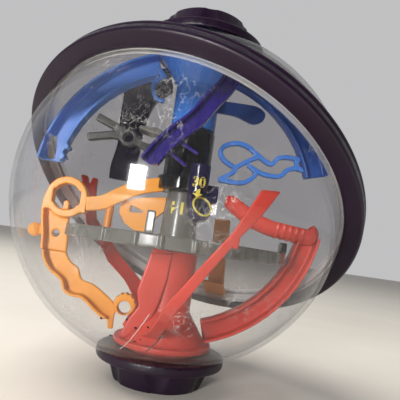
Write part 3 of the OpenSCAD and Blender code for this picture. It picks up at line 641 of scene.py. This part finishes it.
def clear_plastic(name, tint, haze, lip_glow, mirror_low):
    material, tree = node_tree(name)
    out = tree.nodes.new("ShaderNodeOutputMaterial")
    see = tree.nodes.new("ShaderNodeBsdfTransparent")
    # see-through colour: the shell's own faint grey, and for the rear dome a much darker one that is painted
    # shade
    see.inputs["Color"].default_value = (*tint, 1)
    shine = tree.nodes.new("ShaderNodeBsdfGlossy")
    shine.inputs["Roughness"].default_value = 0.07
    dust = tree.nodes.new("ShaderNodeBsdfDiffuse")
    dust.inputs["Color"].default_value = (0.80, 0.80, 0.79, 1)
    # mirror share: a few per cent head on, rising by 0.55 towards the rim
    facing = tree.nodes.new("ShaderNodeLayerWeight")
    facing.inputs["Blend"].default_value = 0.5
    steep = maths(tree, "POWER", facing.outputs["Facing"], 5)
    mirror = maths(tree, "ADD", maths(tree, "MULTIPLY", steep, 0.55), mirror_low)
    # scuffs: contour lines of a noise, in patches, over an even film
    lines = ramp(tree, object_noise(tree, 210, 3, 0.55, (1, 1, 0.6)), [
        (0.485, grey(0)), (0.5, grey(1)), (0.515, grey(0))])
    patches = ramp(tree, object_noise(tree, 34, 3), [(0.52, grey(0)), (0.68, grey(0.45))])
    scuffs = maths(tree, "MULTIPLY", lines, patches)
    film = ramp(tree, object_noise(tree, 12, 4), [(0.35, grey(haze * 0.5)), (0.7, grey(haze * 1.6))])
    seam_axis = seam.to_3x3() @ Vector((0, 0, 1))
    place = tree.nodes.new("ShaderNodeTexCoord")
    height = tree.nodes.new("ShaderNodeVectorMath")
    height.operation = "DOT_PRODUCT"
    height.inputs[1].default_value = seam_axis
    link(tree, place.outputs["Object"], height.inputs[0])
    above_seam = maths(tree, "SUBTRACT", height.outputs["Value"], seam_axis.dot(centre))
    offset = maths(tree, "ABSOLUTE", above_seam)
    near = tree.nodes.new("ShaderNodeMapRange")
    near.inputs["From Min"].default_value = LIP_GLOW_FROM
    near.inputs["From Max"].default_value = LIP_GLOW_FULL
    near.inputs["To Max"].default_value = lip_glow
    link(tree, offset, near.inputs["Value"])
    worn = maths(tree, "ADD", maths(tree, "ADD", scuffs, film), near.outputs["Result"])
    clear = tree.nodes.new("ShaderNodeMixShader")
    link(tree, worn, clear.inputs["Fac"])
    link(tree, see.outputs["BSDF"], clear.inputs[1])
    link(tree, dust.outputs["BSDF"], clear.inputs[2])
    surface = tree.nodes.new("ShaderNodeMixShader")
    link(tree, mirror, surface.inputs["Fac"])
    link(tree, clear.outputs["Shader"], surface.inputs[1])
    link(tree, shine.outputs["BSDF"], surface.inputs[2])
    link(tree, surface.outputs["Shader"], out.inputs["Surface"])
    return material


PAINTS["front_clear"] = clear_plastic("shell_clear_front", (0.95, 0.95, 0.955), 0.006, 0.55, 0.035)
# the rear dome's darker see-through tint is painted shade, for the shadowed room seen through the back of the
# shell
PAINTS["rear_clear_painted_shade"] = clear_plastic("shell_rear_painted_shade", (0.74, 0.73, 0.735), 0.006, 0.30, 0.012)

# %% The two domes
SKIRT_H = 4 * MM
WALL = 2 * MM
ON_SHELL = 0.12 * MM
FACES_OUT = 0.985


def shell_corner(point, middle, face_normal):
    """Direction of the sphere or skirt at a point, turned to its face's side, or the face's own."""
    out = point - middle
    axis = seam.to_3x3() @ Vector((0, 0, 1))
    side = (point - centre) - axis * (point - centre).dot(axis)
    for spoke in (out, side):
        for r in (SHELL_R, SHELL_R - WALL):
            direction = spoke.normalized()
            if abs(spoke.length - r) < ON_SHELL and abs(direction.dot(face_normal)) > FACES_OUT:
                return direction if direction.dot(face_normal) > 0 else -direction
    return face_normal


def clear_dome(node, side, paint):
    dome = welded_copy(node, node + "_clear")
    mesh = dome.data
    middle = seam @ Vector((0, 0, side * SKIRT_H))
    directions = [None] * len(mesh.loops)
    for face in mesh.polygons:
        for loop in face.loop_indices:
            point = mesh.vertices[mesh.loops[loop].vertex_index].co
            directions[loop] = shell_corner(point, middle, face.normal)
    mesh.shade_smooth()
    mesh.normals_split_custom_set(directions)
    dress(dome, node, paint)
    return len(mesh.polygons)


print("rear dome faces", clear_dome("rear_dome", 1, "rear_clear_painted_shade"))
print("front dome faces", clear_dome("front_dome", -1, "front_clear"))

# %% [markdown]
# ## Printed numbers
# The finish tube carries a printed number over an arrow, and the grey cone a step number printed upside
# down. A picture could do this, but raised ink made from a font keeps its edge at any distance. Each mark is
# drawn flat, made a mesh, and then rolled round its pillar.

# %% Ink marks
INK_T = 0.12 * MM


def flat_text(words, height):
    curve = bpy.data.curves.new("ink", "FONT")
    curve.body = words
    curve.size = height
    curve.align_x = "CENTER"
    curve.align_y = "CENTER"
    curve.extrude = INK_T / 2
    curve.offset = 0.035 * height
    ink = bpy.data.objects.new("ink", curve)
    bpy.context.scene.collection.objects.link(ink)
    bpy.context.view_layer.update()
    graph = bpy.context.evaluated_depsgraph_get()
    mesh = bpy.data.meshes.new_from_object(ink.evaluated_get(graph))
    bpy.data.objects.remove(ink)
    return mesh


def flat_arrow(width, height):
    """Arrow that points down, as a thin solid."""
    half, neck, head = width / 2, width / 5, height * 0.45
    top, tip = height / 2, -height / 2
    barb = head + tip
    outline = [(-neck, top), (neck, top), (neck, barb), (half, barb), (0, tip), (-half, barb), (-neck, barb)]
    bm = bmesh.new()
    face = bm.faces.new([bm.verts.new((x, y, -INK_T / 2)) for x, y in outline])
    grown_face = bmesh.ops.extrude_face_region(bm, geom=[face])
    raised = [v for v in grown_face["geom"] if isinstance(v, bmesh.types.BMVert)]
    bmesh.ops.translate(bm, verts=raised, vec=(0, 0, INK_T))
    bmesh.ops.recalc_face_normals(bm, faces=bm.faces)
    mesh = bpy.data.meshes.new("arrow")
    bm.to_mesh(mesh)
    bm.free()
    return mesh


def rolled(mesh, axis_x, axis_y, low_r, high_r, low_z, high_z, z, aim=0.0, upside_down=False):
    """Rolls a flat mark round a pillar whose radius may change with height. Aim turns it, in degrees."""
    flip = -1 if upside_down else 1
    for v in mesh.vertices:
        up = z + flip * v.co.y
        share = (up - low_z) / (high_z - low_z)
        r = low_r + (high_r - low_r) * share
        angle = math.radians(aim) + flip * v.co.x / r - math.pi / 2
        reach = r + v.co.z
        v.co = (axis_x + reach * math.cos(angle), axis_y + reach * math.sin(angle), up)
    return mesh


def ink_piece(name, mesh):
    mark = bpy.data.objects.new(name, mesh)
    bpy.context.scene.collection.objects.link(mark)
    mesh.materials.append(PAINTS["yellow"])
    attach(mark, "shell")
    return len(mesh.polygons)


TUBE = {"axis_x": 7.4 * MM, "axis_y": -15 * MM, "low_r": 5.6 * MM, "high_r": 5.6 * MM,
        "low_z": centre.z - 8 * MM, "high_z": centre.z + 17 * MM}
CONE = {"axis_x": 0, "axis_y": 0, "low_r": 10.6 * MM, "high_r": 9 * MM,
        "low_z": centre.z - 25 * MM, "high_z": centre.z + 2 * MM}
number = rolled(flat_text("30", 7.4 * MM), z=centre.z + 6.5 * MM, **TUBE)
print("number", ink_piece("finish_number", number))
arrow = rolled(flat_arrow(5.6 * MM, 4.8 * MM), z=centre.z + 0.6 * MM, **TUBE)
print("arrow", ink_piece("finish_arrow", arrow))
step = rolled(flat_text("14", 9 * MM), z=centre.z - 7.4 * MM, aim=-12, upside_down=True, **CONE)
print("step", ink_piece("step_number", step))

# %% [markdown]
# ## Dirt and wear on the shell
# The old shell has a few dark specks stuck to it near the lower knob and two fine marks. Each speck is tiny,
# so a Geometry Nodes tree scatters one low-sided pebble over a patch of the sphere, with a fixed seed so that
# every run gives the same dirt.


# %% Speck tree
def patch(direction, spread, lift):
    """Round patch of the sphere about a direction, its edge at an angle of spread."""
    bm = bmesh.new()
    bmesh.ops.create_icosphere(bm, subdivisions=5, radius=SHELL_R + lift)
    far = [v for v in bm.verts if v.co.angle(Vector(direction)) > spread]
    bmesh.ops.delete(bm, geom=far, context="VERTS")
    middle = seam @ Vector((0, 0, -SKIRT_H))
    bm.transform(Matrix.Translation(middle))
    mesh = bpy.data.meshes.new("patch")
    bm.to_mesh(mesh)
    bm.free()
    return mesh


def speck_tree():
    tree, entry, leave = group_with("speck_scatter", [
        ("Density", "NodeSocketFloat", 4000.0), ("Seed", "NodeSocketInt", 5),
        ("Size", "NodeSocketFloat", 0.0004), ("Finish", "NodeSocketMaterial", None)])
    scatter = tree.nodes.new("GeometryNodeDistributePointsOnFaces")
    pebble = tree.nodes.new("GeometryNodeMeshIcoSphere")
    pebble.inputs["Subdivisions"].default_value = 1
    stand = tree.nodes.new("GeometryNodeInstanceOnPoints")
    spread = tree.nodes.new("FunctionNodeRandomValue")
    spread.data_type = "FLOAT_VECTOR"
    spread.inputs["Min"].default_value = (0.4, 0.4, 0.12)
    spread.inputs["Max"].default_value = (1.5, 1.1, 0.2)
    real = tree.nodes.new("GeometryNodeRealizeInstances")
    finish = tree.nodes.new("GeometryNodeSetMaterial")
    link(tree, entry.outputs["Geometry"], scatter.inputs["Mesh"])
    link(tree, entry.outputs["Density"], scatter.inputs["Density"])
    link(tree, entry.outputs["Seed"], scatter.inputs["Seed"])
    link(tree, entry.outputs["Size"], pebble.inputs["Radius"])
    link(tree, scatter.outputs["Points"], stand.inputs["Points"])
    link(tree, scatter.outputs["Rotation"], stand.inputs["Rotation"])
    link(tree, pebble.outputs["Mesh"], stand.inputs["Instance"])
    link(tree, spread.outputs["Value"], stand.inputs["Scale"])
    link(tree, stand.outputs["Instances"], real.inputs["Geometry"])
    link(tree, real.outputs["Geometry"], finish.inputs["Geometry"])
    link(tree, entry.outputs["Finish"], finish.inputs["Material"])
    link(tree, finish.outputs["Geometry"], leave.inputs["Geometry"])
    return tree


SPECK_SPOT = (-0.16, -0.72, -0.68)
SPECK_SPREAD = 0.17
SPECK_LIFT = 0.05 * MM
PEBBLE_CORNERS = 12
PAINTS["dirt"] = plastic("dark_dirt", (0.02, 0.015, 0.012), 0.8)
dirt = grown("shell_specks", patch(SPECK_SPOT, SPECK_SPREAD, SPECK_LIFT), speck_tree(),
             {"Density": 20000.0, "Seed": 11, "Size": 0.75 * MM, "Finish": PAINTS["dirt"]})
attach(dirt, "shell")
print("specks:", len(dirt.data.vertices) // PEBBLE_CORNERS)

# %% [markdown]
# ## Streak and crack
# The two fine marks each run straight over the shell, so each is the shortest way between two spots on the
# sphere, and a spot is a bearing from the viewer's side and a height angle, in degrees. Another
# Geometry Nodes tree makes the line a thin thread that wavers a little, because no scratch is ruled.


# %% Streak and crack
MARK_STEPS = 4


def spot(bearing, rise):
    """Direction from the shell's centre, its bearing from -Y towards +X and its rise from level."""
    turn, lift = math.radians(bearing), math.radians(rise)
    return Vector((math.sin(turn) * math.cos(lift), -math.cos(turn) * math.cos(lift), math.sin(lift)))


def line_mesh(start, end):
    """Open line of edges over the sphere, the shortest way from one spot to another."""
    first, last = spot(*start), spot(*end)
    points = [centre + first.slerp(last, i / MARK_STEPS) * SHELL_R for i in range(MARK_STEPS + 1)]
    mesh = bpy.data.meshes.new("line")
    mesh.from_pydata(points, [(i, i + 1) for i in range(MARK_STEPS)], [])
    return mesh


def mark_tree():
    """A thin, slightly ragged thread along the input line."""
    tree, entry, leave = group_with("thin_mark", [
        ("Width", "NodeSocketFloat", 0.0005), ("Waver", "NodeSocketFloat", 0.0004),
        ("Finish", "NodeSocketMaterial", None)])
    path = tree.nodes.new("GeometryNodeMeshToCurve")
    finer = tree.nodes.new("GeometryNodeResampleCurve")
    finer.inputs["Count"].default_value = 60
    wander = tree.nodes.new("GeometryNodeSetPosition")
    noise = tree.nodes.new("ShaderNodeTexNoise")
    noise.inputs["Scale"].default_value = 260
    level = tree.nodes.new("ShaderNodeVectorMath")
    level.operation = "SUBTRACT"
    level.inputs[1].default_value = (0.5, 0.5, 0.5)
    scale = tree.nodes.new("ShaderNodeVectorMath")
    scale.operation = "SCALE"
    section = tree.nodes.new("GeometryNodeCurvePrimitiveCircle")
    section.inputs["Resolution"].default_value = 8
    thread = tree.nodes.new("GeometryNodeCurveToMesh")
    thread.inputs["Fill Caps"].default_value = True
    real = tree.nodes.new("GeometryNodeRealizeInstances")
    finish = tree.nodes.new("GeometryNodeSetMaterial")
    link(tree, entry.outputs["Geometry"], path.inputs["Mesh"])
    link(tree, path.outputs["Curve"], finer.inputs["Curve"])
    link(tree, finer.outputs["Curve"], wander.inputs["Geometry"])
    link(tree, noise.outputs["Color"], level.inputs[0])
    link(tree, level.outputs["Vector"], scale.inputs[0])
    link(tree, entry.outputs["Waver"], scale.inputs["Scale"])
    link(tree, scale.outputs["Vector"], wander.inputs["Offset"])
    link(tree, entry.outputs["Width"], section.inputs["Radius"])
    link(tree, wander.outputs["Geometry"], thread.inputs["Curve"])
    link(tree, section.outputs["Curve"], thread.inputs["Profile Curve"])
    link(tree, thread.outputs["Mesh"], real.inputs["Geometry"])
    link(tree, real.outputs["Geometry"], finish.inputs["Geometry"])
    link(tree, entry.outputs["Finish"], finish.inputs["Material"])
    link(tree, finish.outputs["Geometry"], leave.inputs["Geometry"])
    return tree


PAINTS["scuff"] = plastic("white_scuff", (0.72, 0.72, 0.70), 0.6)
threads = mark_tree()
MARKS = (
    ("shell_streak", (-27.5, -63), (-5.5, -39.5), 0.16, "scuff"),
    ("shell_crack", (-8.5, -60.5), (1, -45), 0.2, "dirt"))
for name, start, end, width, paint in MARKS:
    mark = grown(name, line_mesh(start, end), threads, {
        "Width": width * MM, "Waver": 1.1 * MM, "Finish": PAINTS[paint]})
    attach(mark, "shell")
    print(name, len(mark.data.polygons), "faces")
